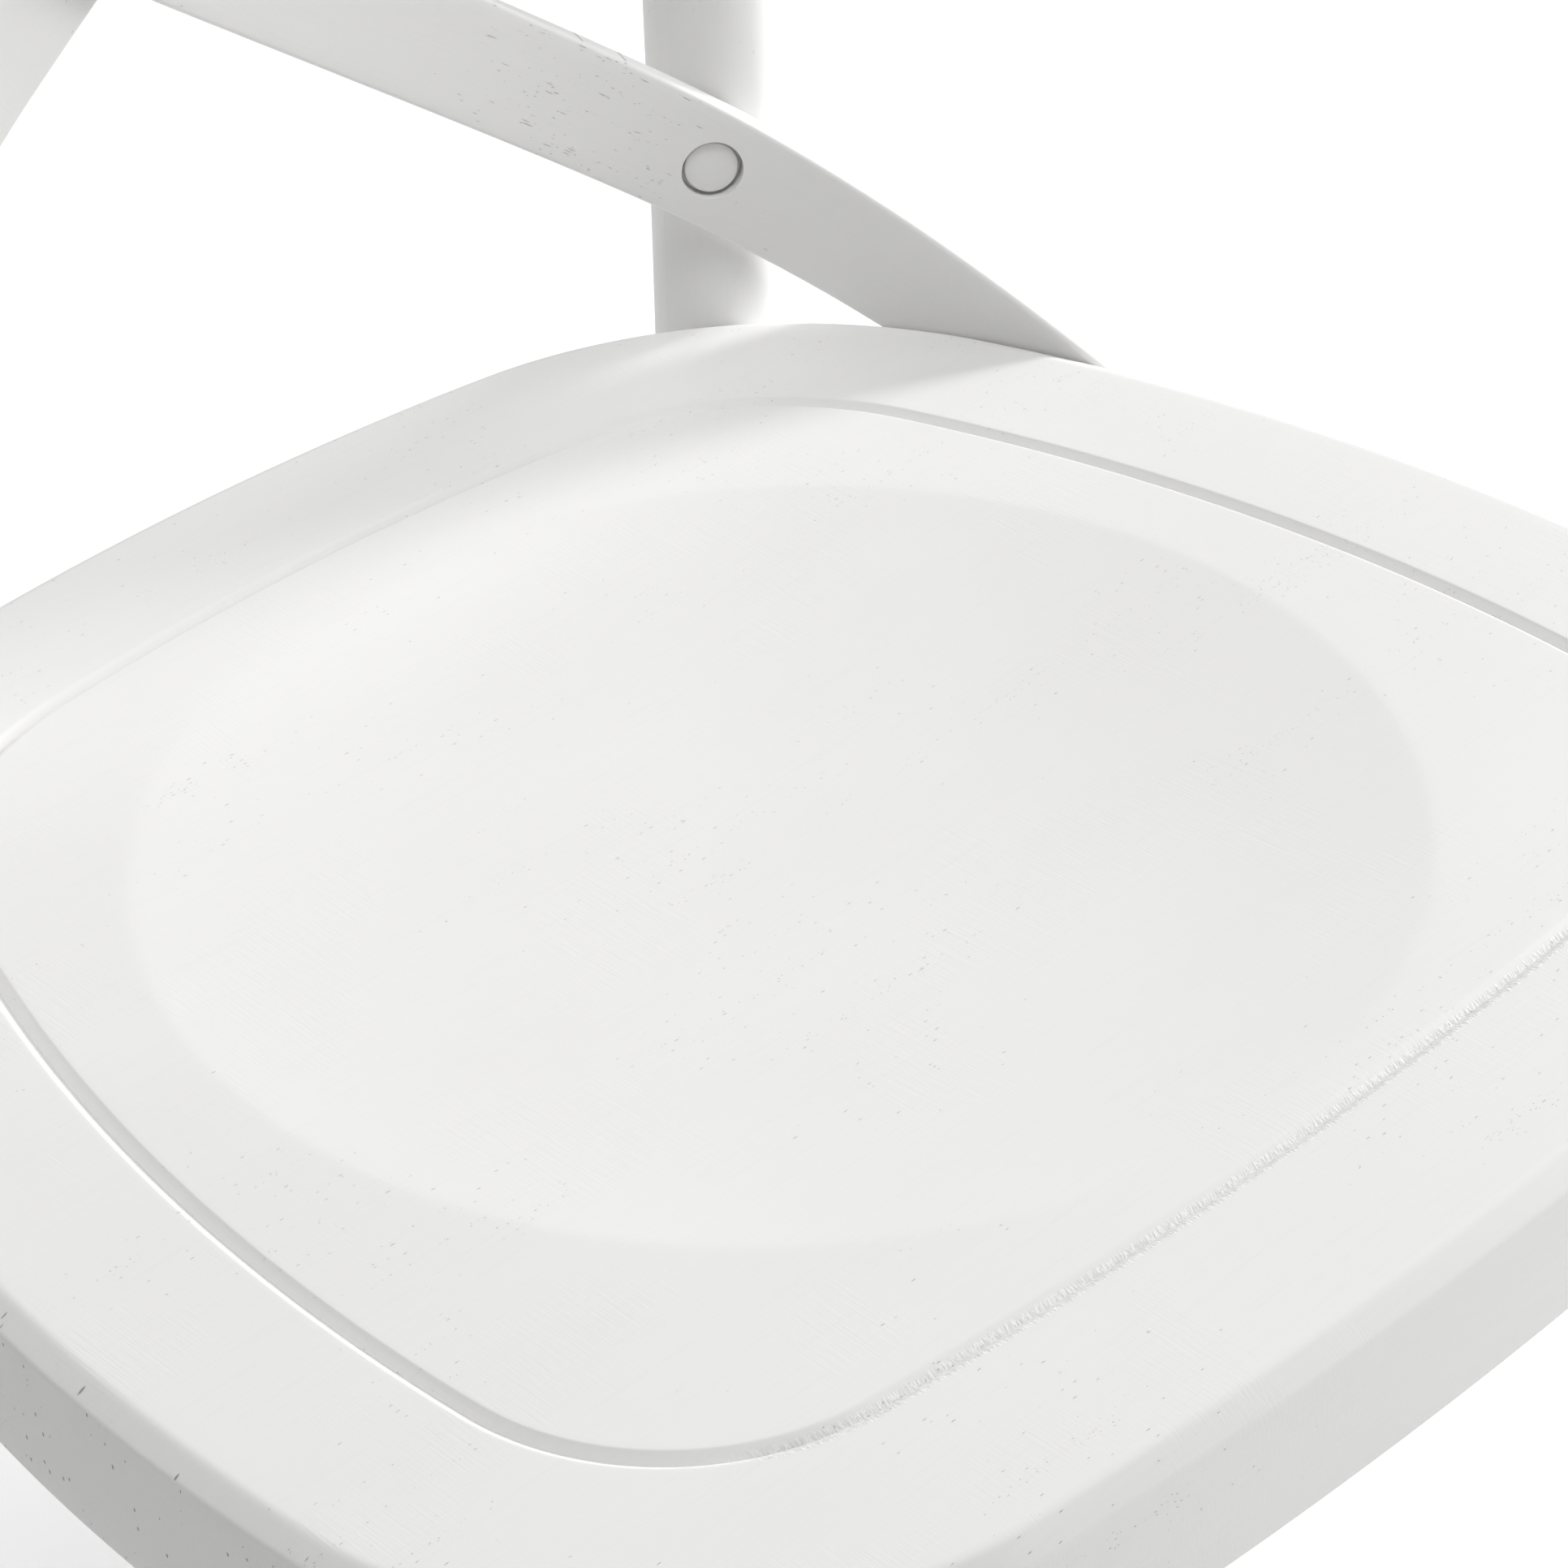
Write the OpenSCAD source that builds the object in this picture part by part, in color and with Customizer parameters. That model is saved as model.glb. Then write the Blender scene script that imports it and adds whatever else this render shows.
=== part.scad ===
// Cross-back dining chair: one bent hoop makes the back legs and the back, two bent straps
// cross behind the sitter and wrap round to the sides of a solid, dished seat.
// Millimetres, +Z up, the chair faces -Y, the origin is on the floor under its middle.

/* [Seat] */
// Height of the seat's top above the floor
seat_height = 457; // [430:1:480]
// Thickness of the seat board
seat_thick = 39; // [28:1:45]
// Distance from the seat's centre to the groove at the front
groove_front = 162.9; // [150:0.1:175]
// Distance of the groove inside the seat's edge
groove_inset = 47.4; // [30:0.1:60]
// Width of the V groove at the top
groove_width = 4.6; // [3:0.1:8]
// Depth of the V groove
groove_depth = 1.9; // [1:0.1:4]
// Width of the soft chamfer round the top edge
edge_run = 5.4; // [3:0.1:8]
// Height of the chamfer at the sides
edge_drop = 2.6; // [1.5:0.1:5]
// How much higher the chamfer is at the front and back
edge_drop_more = 2.4; // [0:0.1:4]
// Radius of the round dish
dish_radius = 145; // [120:1:150]
// Depth of the dish at its middle
dish_depth = 5.5; // [2:0.5:8]

/* [Back hoop] */
// Radius of the bent rod
rod_r = 17.5; // [14:0.5:20]
// Radius of the rod at the floor
rod_foot_r = 14; // [11:0.5:18]
// Sideways place of each post at the seat
post_x = 164.8; // [140:0.1:180]
// Place of each post behind the seat's centre
post_y = 185.4; // [160:0.1:200]
// Outward lean of the posts above the seat, degrees
post_out = 4.5; // [0:0.1:8]
// Backward lean of the posts at the seat, degrees
post_back = 2.8; // [0:0.1:10]
// Straight length of the leaning post above the seat
post_straight = 150; // [100:1:200]
// Radius of the hoop's upper corners
corner_r = 120; // [80:1:180]
// Turn of each upper corner, degrees
corner_turn = 72; // [50:1:85]
// Half the distance between the back feet
foot_x = 190; // [160:1:210]
// Place of the back feet behind the seat's centre
foot_y = 218; // [190:1:250]

/* [Cross straps] */
// Width of the bent strap
strap_w = 32; // [25:0.5:45]
// Thickness of the bent strap
strap_t = 7.4; // [5:0.1:12]
// Height above the seat at which a strap passes its post
strap_z = 41.8; // [30:0.1:80]
// Heading of a strap where it passes the post, degrees
strap_head = -35.8; // [-60:0.1:0]
// Length of a strap above the post
strap_up = 352; // [300:1:400]
// Length of a strap below the post
strap_down = 124; // [90:1:150]

/* [Front legs] */
// Leg radius under the seat
leg_top_r = 18.5; // [14:0.5:24]
// Leg radius at the floor
leg_foot_r = 13.5; // [10:0.5:18]
// Sideways place of the leg under the seat
leg_top_x = 150; // [120:1:180]
// Place of the leg under the seat, forward of the seat's centre
leg_top_y = 138; // [110:1:170]
// Half the distance between the front feet
leg_foot_x = 184; // [150:1:210]
// Place of the front feet, forward of the seat's centre
leg_foot_y = 184; // [140:1:200]

/* [Brace arches] */
// Width of the bent brace strip
arch_w = 24; // [18:1:32]
// Thickness of the bent brace strip
arch_t = 8; // [6:0.5:12]
// Height at which the front and rear arches are screwed to the legs
arch_z = 235; // [150:1:260]
// Height at which the side arches are screwed to the legs
side_z = 200; // [150:1:280]

/* [Fastenings] */
// Radius of the plugs over the screws
plug_r = 7.1; // [5:0.1:9]
// Radius of the counterbores
bore_r = 8.2; // [6:0.1:10]
// Depth of the counterbores
bore_depth = 4.4; // [3:0.1:6]

/* [Hidden] */

$fn = 48;
paint = [0.93, 0.925, 0.91];
paint_shade = [0.88, 0.875, 0.86];
steel = [0.62, 0.63, 0.65];
nylon = [0.72, 0.71, 0.68];
gap = 0.2;
shift_y = -18.8;
under = seat_height - seat_thick;
glide_h = 4;

// ---------- vector helpers ----------
function unit(v) = v / norm(v);
function flip_x(v) = [-v[0], v[1], v[2]];
function rises(values, step) =
    [for (i = 0, t = 0; i < len(values); t = t + (values[i] + values[min(i + 1, len(values) - 1)])
        * step / 2, i = i + 1) t];

// places children so that their +Z runs along the given direction
module aim(at, along) {
    u = unit(along);
    translate(at)
        rotate([0, acos(max(-1, min(1, u[2]))), atan2(u[1], u[0])])
            children();
}

// closed skin over rings of points: equal counts, anticlockwise as seen from the last ring
module skin(rings) {
    n = len(rings[0]);
    m = len(rings);
    points = [for (r = rings) for (p = r) p];
    sides = [for (j = [0:m - 2]) for (i = [0:n - 1])
        let (a = j * n + i, b = j * n + (i + 1) % n)
        for (f = [[a, b + n, b], [a, a + n, b + n]]) f];
    low = [[for (i = [0:n - 1]) i]];
    high = [[for (i = [0:n - 1]) m * n - 1 - i]];
    polyhedron(points = points, faces = concat(low, sides, high), convexity = 10);
}

// ---------- seat outline: five tangent arcs a side, mirrored ----------
front_arc = [1254, 5.5];
front_corner = [59.7, 79.7];
side_arc = [480, 24.4];
back_corner = [81.4, 62.9];

function arc_points(start, head, radius, turn, n) =
    [for (i = [1:n]) let (h = head + turn * i / n)
        [start[0] + radius * (sin(h) - sin(head)), start[1] - radius * (cos(h) - cos(head))]];
function last(v) = v[len(v) - 1];

function half_outline(o) =
    let (a = arc_points([0, -groove_front - o], 0, front_arc[0] + o, front_arc[1], 3),
        h1 = front_arc[1],
        b = arc_points(last(a), h1, front_corner[0] + o, front_corner[1], 13),
        h2 = h1 + front_corner[1],
        c = arc_points(last(b), h2, side_arc[0] + o, side_arc[1], 7),
        h3 = h2 + side_arc[1],
        d = arc_points(last(c), h3, back_corner[0] + o, back_corner[1], 11),
        h4 = h3 + back_corner[1],
        e = arc_points(last(d), h4, last(d)[0] / sin(h4), 180 - h4, 4))
    concat([[0, -groove_front - o]], a, b, c, d, e);

function outline(o) =
    let (half = half_outline(o), n = len(half))
    concat(half, [for (i = [n - 2:-1:1]) [-half[i][0], half[i][1]]]);

dish_y = -7.5;
function lift(ring, z) = [for (p = ring) [p[0], p[1] + shift_y, z]];
function dish_ring(r) =
    [for (p = outline(0)) let (a = atan2(p[1] - dish_y, p[0])) [r * cos(a), dish_y + r * sin(a)]];
function dish_z(r) = seat_height - dish_depth * (1 - pow(r / dish_radius, 2));

// height of the chamfer at each point round the outline, from the way the edge faces there
chamfer = [for (i = [0:len(outline(0)) - 1])
    edge_drop + edge_drop_more * pow(outline(1)[i][1] - outline(0)[i][1], 2)];
// ring of the chamfer's lower arris, dropped by a share of the chamfer's height
function edge_ring(o, share) =
    let (ring = outline(o))
    [for (i = [0:len(ring) - 1])
        [ring[i][0], ring[i][1] + shift_y, seat_height - share * chamfer[i]]];

seat_rings = concat(
    [lift(outline(groove_inset - 2), under)],
    [lift(outline(groove_inset), under + 2)],
    [edge_ring(groove_inset, 1.25)],
    [edge_ring(groove_inset - 0.4, 1)],
    [edge_ring(groove_inset - edge_run + 1, 0.12)],
    [lift(outline(groove_inset - edge_run - 1), seat_height)],
    [lift(outline(groove_width / 2), seat_height)],
    [lift(outline(0), seat_height - groove_depth)],
    [lift(outline(-groove_width / 2), seat_height)],
    [for (r = [1, 0.86, 0.62, 0.34, 0.1]) lift(dish_ring(r * dish_radius), dish_z(r * dish_radius))]);

// ---------- hoop path ----------
function hoop_y(z) = let (h = z - seat_height)
    post_y + shift_y + tan(post_back) * h
    + (h > 0 ? 1.44e-4 * h * h : (foot_y - post_y + tan(post_back) * seat_height) * pow(h / seat_height, 2));
function leg_x(z) = let (h = z - seat_height)
    post_x + tan(post_out) * h + (foot_x - post_x + tan(post_out) * seat_height) * pow(h / seat_height, 2);

bend_r = 1300;
bend_start = [post_x + post_straight * tan(post_out), seat_height + post_straight];
bend_top = bend_start + bend_r * [1 - cos(post_out), sin(post_out)];
corner_start = bend_top + [0, 33];
corner_end = corner_start + corner_r * [cos(corner_turn) - 1, sin(corner_turn)];
crown_r = corner_end[0] / cos(corner_turn);
crown_z = corner_end[1] + crown_r * (1 - sin(corner_turn));

half_hoop = concat(
    [for (z = [glide_h + gap, 60, 120, 180, 240, 300, 350, 400, 440]) [leg_x(z), z]],
    [for (i = [0:3]) [post_x + i * 50 * tan(post_out), seat_height + i * 50]],
    [for (i = [1:3]) let (a = post_out * i / 3)
        bend_start + bend_r * [cos(post_out - a) - cos(post_out), sin(post_out) - sin(post_out - a)]],
    [for (i = [0:10]) let (a = corner_turn * i / 10)
        corner_start + corner_r * [cos(a) - 1, sin(a)]],
    [for (i = [1:3]) let (a = corner_turn + (90 - corner_turn) * i / 3)
        [crown_r * cos(a), corner_end[1] + crown_r * (sin(a) - sin(corner_turn))]]);
hoop_right = [for (p = half_hoop) [p[0], hoop_y(p[1]), p[1]]];
hoop_path = concat(hoop_right, [for (i = [len(hoop_right) - 2:-1:0]) flip_x(hoop_right[i])]);

function rod_radius(z) = z > seat_height ? rod_r : rod_foot_r + (rod_r - rod_foot_r) * min(1, z / 300);

function hoop_ring(i, n) =
    let (m = len(hoop_path), p = hoop_path[i],
        t = i == 0 ? [0, 0, 1] : i == m - 1 ? [0, 0, -1] : unit(hoop_path[i + 1] - hoop_path[i - 1]),
        u = unit(cross(t, [0, 1, 0])), v = cross(t, u), r = rod_radius(p[2]))
    [for (k = [0:n - 1]) let (a = 360 * k / n) p + r * (u * cos(a) + v * sin(a))];

// ---------- strap path ----------
// bend of the strap in plan, per metre, at distances along it from the post
bend_at = [-405, -290, -174, -87, -38, 0, 38, 77, 125];
bend_is = [0.8, 0.8, 1.2, 2.6, 4.4, 10.5, 7.4, 5.5, 0];
strap_step = 4;
post_at_strap = [post_x + strap_z * tan(post_out), post_y + shift_y + strap_z * tan(post_back)];

function strap_slope(s) = lookup(s, [[-405, 0.804], [0, 0.687], [164, 0.431]]);
function strap_bend(s) = lookup(s, [for (i = [0:len(bend_at) - 1]) [bend_at[i], bend_is[i] / 1000]]);
function strap_tilt(s) = lookup(s, [[-352, -1], [-60, -2], [0, -2], [60, -2], [110, 0]]);

down_s = [for (s = [0:strap_step:strap_down]) s];
up_s = [for (s = [0:strap_step:strap_up]) -s];
down_h = [for (t = rises([for (s = down_s) strap_bend(s)], strap_step)) strap_head - t * 180 / PI];
up_h = [for (t = rises([for (s = up_s) strap_bend(s)], strap_step)) strap_head + t * 180 / PI];

strap_start = post_at_strap + (rod_r + gap + strap_t / 2) * [sin(strap_head), -cos(strap_head)];
function walk(s, h, way) =
    let (x = rises([for (a = h) cos(a)], strap_step), y = rises([for (a = h) sin(a)], strap_step),
        z = rises([for (d = s) strap_slope(d)], strap_step))
    [for (i = [0:len(s) - 1])
        [strap_start[0] + way * x[i], strap_start[1] + way * y[i], seat_height + strap_z - way * z[i]]];
down_p = walk(down_s, down_h, 1);
up_p = walk(up_s, up_h, -1);
// one list from the top end to the lower end: distance, heading, point
strap_line = concat(
    [for (i = [len(up_s) - 1:-1:1]) [up_s[i], up_h[i], up_p[i]]],
    [for (i = [0:len(down_s) - 1]) [down_s[i], down_h[i], down_p[i]]]);

function strap_tangent(q) = unit([cos(q[1]), sin(q[1]), -strap_slope(q[0])]);
function strap_face(q) =
    let (t = strap_tangent(q), e = strap_tilt(q[0]),
        n = [sin(q[1]) * cos(e), -cos(q[1]) * cos(e), sin(e)])
    unit(n - (n * t) * t);
// the rear strap is set back where it passes behind the front one
function set_back(p) = let (d = max(0, min(1, (abs(p[0]) - 34) / 100)))
    (strap_t + 4 * gap) * pow(cos(90 * d), 2);
function strap_point(q, rear) = q[2] + [0, rear ? set_back(q[2]) : 0, 0];

end_round = 10;
edge_soft = 1.6;
function strap_half(s) =
    let (d = min(s + strap_up, strap_down - s), e = max(0, end_round - max(0, d)))
    strap_w / 2 - end_round + sqrt(pow(end_round, 2) - pow(min(e, end_round * 0.98), 2));
function strap_ring(q, rear, more = 0) =
    let (t = strap_tangent(q), n = strap_face(q), w = cross(n, t), p = strap_point(q, rear),
        a = strap_half(q[0]) + more, b = strap_t / 2 + more, k = edge_soft,
        c = k * (1 - sin(45)))
    [for (v = [[a, b - k], [a - c, b - c], [a - k, b], [k - a, b], [c - a, b - c], [-a, b - k],
        [-a, k - b], [c - a, c - b], [k - a, -b], [a - k, -b], [a - c, c - b], [a, k - b]])
        p + w * v[0] + n * v[1]];

module strap_body(rear) {
    picks = [for (i = [0:len(strap_line) - 1])
        if (i < 4 || i > len(strap_line) - 5 || i % 2 == 0) strap_line[i]];
    skin([for (q = picks) strap_ring(q, rear)]);
}

// the strap station nearest to a distance from the post
function station(s) = strap_line[round((s + strap_up) / strap_step)];
function crossing_index() =
    let (hits = [for (i = [0:len(strap_line) - 2])
        if (strap_line[i][2][0] < 0 && strap_line[i + 1][2][0] >= 0) i])
    hits[0];

post_s = -4;
seat_s = 100;
top_s = -336;
q_post = station(post_s);
q_seat = station(seat_s);
q_top = station(top_s);
q_cross = strap_line[crossing_index()];

// a counterbore and clearance hole through a strap, out from its front or rear face
module strap_hole(q, rear, side) {
    n = strap_face(q) * side;
    aim(strap_point(q, rear), n) {
        translate([0, 0, strap_t / 2 - bore_depth])
            cylinder(h = bore_depth + 3, r = bore_r);
        translate([0, 0, -strap_t])
            cylinder(h = 2 * strap_t, r = 2.3, $fn = 24);
    }
}

// pan-head screw pointing down, the underside of its head at the origin
module screw(long) {
    rotate_extrude($fn = 24)
        polygon([[0, -long - 3], [0.6, -long - 3], [2, -long], [2, 0], [4.6, 0], [4.6, 1],
            [3.6, 1.5], [0, 1.5]]);
}

// screw with its head at the floor of a counterbore
module strap_screw(q, rear, side, long) {
    n = strap_face(q) * side;
    aim(strap_point(q, rear), n)
        translate([0, 0, strap_t / 2 - bore_depth + gap / 2])
            screw(long);
}

// slightly domed plug, set just under the face
module plug(r) {
    rotate_extrude()
        polygon(concat([[0, 0], [r, 0], [r, 1.1]],
            [for (i = [1:6]) let (a = 15 * i) [r * cos(a) , 1.1 + 0.7 * sin(a)]]));
}

module strap_plug(q, rear, side) {
    n = strap_face(q) * side;
    aim(strap_point(q, rear), n)
        translate([0, 0, strap_t / 2 - bore_depth + 1.7])
            plug(plug_r);
}

module pilot(q, rear, side, long) {
    n = strap_face(q) * side;
    aim(strap_point(q, rear), n)
        translate([0, 0, strap_t / 2 - bore_depth - long - 4])
            cylinder(h = long + 4, r = 2.15, $fn = 24);
}

// shallow flat on the rod that a strap lies against
module strap_flat(q, rear, size) {
    n = strap_face(q);
    aim(strap_point(q, rear), n)
        translate([-size / 2, -size / 2, -strap_t / 2 - gap])
            cube([size, size, 30]);
}

module both_sides() {
    children();
    mirror([1, 0, 0])
        children();
}

// ---------- legs ----------
leg_a = [leg_top_x, shift_y - leg_top_y, under];
leg_b = [leg_foot_x, shift_y - leg_foot_y, glide_h];
function leg_axis(z) = leg_b + (leg_a - leg_b) * (z - leg_b[2]) / (leg_a[2] - leg_b[2]);
function leg_r(z) = leg_foot_r + (leg_top_r - leg_foot_r) * (z - glide_h) / (under - glide_h);
function leg_ring(z, r) = [for (k = [0:35]) leg_axis(z) + r * [cos(10 * k), sin(10 * k), 0]];
function back_axis(z) = [leg_x(z), hoop_y(z), z];

tenon_r = 12.5;
tenon_long = 26;

// ---------- seat bolts through the posts ----------
bolt_z = seat_height - seat_thick / 2 - 1;
bolt_dir = unit([-0.66, -0.75, 0]);
bolt_at = [leg_x(bolt_z), hoop_y(bolt_z), bolt_z];
nut_at = bolt_at + bolt_dir * 52;

// ---------- arches ----------
function bez(a, b, c, d, t) =
    a * pow(1 - t, 3) + b * 3 * t * pow(1 - t, 2) + c * 3 * t * t * (1 - t) + d * pow(t, 3);
// half of an arch's centre line, from its lower end to its crown
function arch_half(span, rise, lean) =
    let (a = [span, 0], b = a + [-sin(lean), cos(lean)] * rise * 0.72, c = [span * 0.6, rise])
    concat([a - [-sin(lean), cos(lean)] * 24],
        [for (i = [0:18]) bez(a, b, c, [0, rise], i / 18)]);
function side_line(line, o) =
    [for (i = [0:len(line) - 1])
        let (t = unit(line[min(i + 1, len(line) - 1)] - line[max(i - 1, 0)])) line[i] + o * [t[1], -t[0]]];
function mirrored(line) = [for (i = [len(line) - 2:-1:0]) [-line[i][0], line[i][1]]];

module arch_strip(span, rise, lean) {
    line = arch_half(span, rise, lean);
    outer = side_line(line, arch_t / 2);
    inner = side_line(line, -arch_t / 2);
    translate([0, 0, -arch_w / 2])
        linear_extrude(height = arch_w)
            polygon(concat(outer, mirrored(outer),
                [for (i = [0:len(inner) - 1]) [-inner[i][0], inner[i][1]]],
                mirrored([for (p = inner) [-p[0], p[1]]])));
}

// lays an arch between two leg points, its crown rising towards a third point
module between(a, b, crown) {
    mid = (a + b) / 2;
    u = unit(b - a);
    v0 = crown - mid;
    v = unit(v0 - (v0 * u) * u);
    w = cross(u, v);
    multmatrix([[u[0], v[0], w[0], mid[0]], [u[1], v[1], w[1], mid[1]], [u[2], v[2], w[2], mid[2]]])
        children();
}

front_ax = leg_axis(arch_z);
back_ax = back_axis(arch_z);
side_front = leg_axis(side_z);
side_back = back_axis(side_z);
front_crown = [0, shift_y - 150, under - arch_t / 2 - 1.6];
rear_crown = [0, shift_y + 166, under - arch_t / 2 - 1.6];
side_crown = [163, (side_front[1] + side_back[1]) / 2 + 4, under - arch_t / 2 - 1.6];
front_span = front_ax[0] - leg_r(arch_z) - arch_t / 2 - 0.5;
rear_span = back_ax[0] - rod_radius(arch_z) - arch_t / 2 - 0.5;
side_span = norm(side_back - side_front) / 2 - 16.3 - arch_t / 2 - 0.5;
front_rise = norm(front_crown - [0, front_ax[1], arch_z]);
rear_rise = norm(rear_crown - [0, back_ax[1], arch_z]);
side_mid = (side_front + side_back) / 2;
side_rise = norm(side_crown - side_mid);
front_lean = 4.6;
rear_lean = 3;
side_lean = 8;

module front_frame() {
    between(flip_x(front_ax), front_ax, front_crown)
        children();
}

module rear_frame() {
    between(flip_x(back_ax), back_ax, rear_crown)
        children();
}

module side_frame() {
    between(side_front, side_back, side_crown)
        children();
}

// drilling for one arch: two leg screws and one crown screw
module arch_holes(span, rise) {
    for (side = [-1, 1])
        translate([side * span, 0, 0])
            rotate([0, side * 90, 0]) {
                translate([0, 0, -20])
                    cylinder(h = 40, r = 2.3, $fn = 24);
                translate([0, 0, -arch_t / 2 - 8])
                    cylinder(h = 8 + bore_depth, r = bore_r);
            }
    translate([0, rise, 0])
        rotate([90, 0, 0])
            cylinder(h = 40, r = 2.3, center = true, $fn = 24);
}

module arch_screws(span) {
    for (side = [-1, 1])
        translate([side * (span - arch_t / 2 + bore_depth - gap / 2), 0, 0])
            rotate([0, -side * 90, 0])
                screw(17);
}

module arch_plugs(span) {
    for (side = [-1, 1])
        translate([side * (span - arch_t / 2 + bore_depth - 1.75), 0, 0])
            rotate([0, -side * 90, 0])
                plug(plug_r);
}

module arch_pilots(span) {
    for (side = [-1, 1])
        translate([side * span, 0, 0])
            rotate([0, side * 90, 0])
                cylinder(h = 24, r = 2.15, $fn = 24);
}

module crown_screw(rise) {
    translate([0, rise - arch_t / 2 - 0.6, 0])
        rotate([90, 0, 0])
            screw(17);
}

module crown_pilot(rise) {
    translate([0, rise, 0])
        rotate([-90, 0, 0])
            cylinder(h = 20, r = 2.15, $fn = 24);
}

// ---------- sub-parts ----------
module seat_panel() {
    color(paint)
        difference() {
            skin(seat_rings);
            both_sides() {
                skin([leg_ring(under - 2, tenon_r + gap), leg_ring(under + tenon_long + 1, tenon_r + gap)]);
                aim(bolt_at, bolt_dir)
                    cylinder(h = 66, r = 3.3, $fn = 24);
                translate([nut_at[0], nut_at[1], under - 1])
                    cylinder(h = bolt_z - under + 9, r = 6.4, $fn = 32);
                pilot(q_seat, false, -1, 17);
            }
            front_frame()
                crown_pilot(front_rise);
            rear_frame()
                crown_pilot(rear_rise);
            both_sides()
                side_frame()
                    crown_pilot(side_rise);
        }
}

module back_hoop() {
    color(paint)
        difference() {
            skin([for (i = [0:len(hoop_path) - 1]) hoop_ring(i, 24)]);
            both_sides() {
                aim(bolt_at - bolt_dir * 20, bolt_dir)
                    cylinder(h = 60, r = 3.3, $fn = 24);
                aim(bolt_at - bolt_dir * 24, bolt_dir)
                    cylinder(h = 24 - rod_r + 6, r = bore_r);
                pilot(q_post, false, 1, 22);
                pilot(q_top, false, 1, 22);
                strap_flat(q_post, false, 60);
                strap_flat(q_top, false, 70);
                side_frame()
                    arch_pilots(side_span);
                translate([foot_x, hoop_y(glide_h), glide_h - 1])
                    cylinder(h = 20, r = 1.7, $fn = 24);
            }
            rear_frame()
                arch_pilots(rear_span);
        }
}

module cross_strap_front() {
    color(paint)
        difference() {
            strap_body(false);
            strap_hole(q_post, false, 1);
            strap_hole(q_top, false, 1);
            strap_hole(q_seat, false, -1);
            strap_hole(q_cross, false, 1);
        }
}

module cross_strap_rear() {
    color(paint_shade)
        difference() {
            mirror([1, 0, 0])
                strap_body(true);
            mirror([1, 0, 0]) {
                strap_hole(q_post, true, 1);
                strap_hole(q_top, true, 1);
                strap_hole(q_seat, true, -1);
            }
            pilot(q_cross, false, 1, 6);
        }
}

// the tapered leg, then its shoulder and the tenon that goes up into the seat
module leg_body() {
    skin([leg_ring(glide_h + gap, leg_foot_r - 1.2), leg_ring(glide_h + 1.8, leg_foot_r),
        leg_ring(under - 2, leg_top_r), leg_ring(under - gap, leg_top_r - 1),
        leg_ring(under - gap, tenon_r), leg_ring(under + tenon_long - 1, tenon_r),
        leg_ring(under + tenon_long, tenon_r - 1)]);
}

module front_leg() {
    difference() {
        leg_body();
        front_frame()
            arch_pilots(front_span);
        side_frame()
            arch_pilots(side_span);
        translate([leg_b[0], leg_b[1], glide_h - 1])
            cylinder(h = 20, r = 1.7, $fn = 24);
    }
}

module front_leg_left() {
    color(paint)
        mirror([1, 0, 0])
            front_leg();
}

module front_leg_right() {
    color(paint)
        front_leg();
}

module arch_body(span, rise, lean) {
    difference() {
        arch_strip(span, rise, lean);
        arch_holes(span, rise);
    }
}

module arch_front() {
    color(paint)
        front_frame()
            arch_body(front_span, front_rise, front_lean);
}

module arch_rear() {
    color(paint)
        rear_frame()
            arch_body(rear_span, rear_rise, rear_lean);
}

module arch_right() {
    color(paint)
        side_frame()
            arch_body(side_span, side_rise, side_lean);
}

module arch_left() {
    color(paint)
        mirror([1, 0, 0])
            side_frame()
                arch_body(side_span, side_rise, side_lean);
}

// machine bolts from the back of each post into the seat
module seat_bolts() {
    color(steel)
        both_sides()
            aim(bolt_at - bolt_dir * (rod_r - 6), bolt_dir) {
                translate([0, 0, -2.6])
                    cylinder(h = 2.5, r = 6);
                translate([0, 0, -0.2])
                    cylinder(h = 74, r = 3);
            }
}

// barrel nuts that the bolts run into, set up into the seat from below
module seat_bolt_nuts() {
    color(steel)
        both_sides()
            difference() {
                translate([nut_at[0], nut_at[1], bolt_z - 8])
                    cylinder(h = 15, r = 6.2);
                aim(bolt_at, bolt_dir)
                    cylinder(h = 80, r = 3.15, $fn = 24);
            }
}

module seat_bolt_plugs() {
    color(paint)
        both_sides()
            aim(bolt_at - bolt_dir * (rod_r - 3.2), -bolt_dir)
                plug(plug_r);
}

module strap_post_screws() {
    color(steel)
        both_sides()
            strap_screw(q_post, false, 1, 22);
}

module strap_post_plugs() {
    color(paint)
        both_sides()
            strap_plug(q_post, false, 1);
}

module strap_seat_screws() {
    color(steel)
        both_sides()
            strap_screw(q_seat, false, -1, 17);
}

module strap_seat_plugs() {
    color(paint)
        both_sides()
            strap_plug(q_seat, false, -1);
}

module strap_top_screws() {
    color(steel)
        both_sides()
            strap_screw(q_top, false, 1, 22);
}

module strap_top_plugs() {
    color(paint)
        both_sides()
            strap_plug(q_top, false, 1);
}

module crossing_screw() {
    color(steel)
        strap_screw(q_cross, false, 1, 5);
}

module crossing_plug() {
    color(paint)
        strap_plug(q_cross, false, 1);
}

module arch_leg_screws() {
    color(steel) {
        front_frame()
            arch_screws(front_span);
        rear_frame()
            arch_screws(rear_span);
        both_sides()
            side_frame()
                arch_screws(side_span);
    }
}

module arch_leg_plugs() {
    color(paint) {
        front_frame()
            arch_plugs(front_span);
        rear_frame()
            arch_plugs(rear_span);
        both_sides()
            side_frame()
                arch_plugs(side_span);
    }
}

module arch_seat_screws() {
    color(steel) {
        front_frame()
            crown_screw(front_rise);
        rear_frame()
            crown_screw(rear_rise);
        both_sides()
            side_frame()
                crown_screw(side_rise);
    }
}

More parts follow.
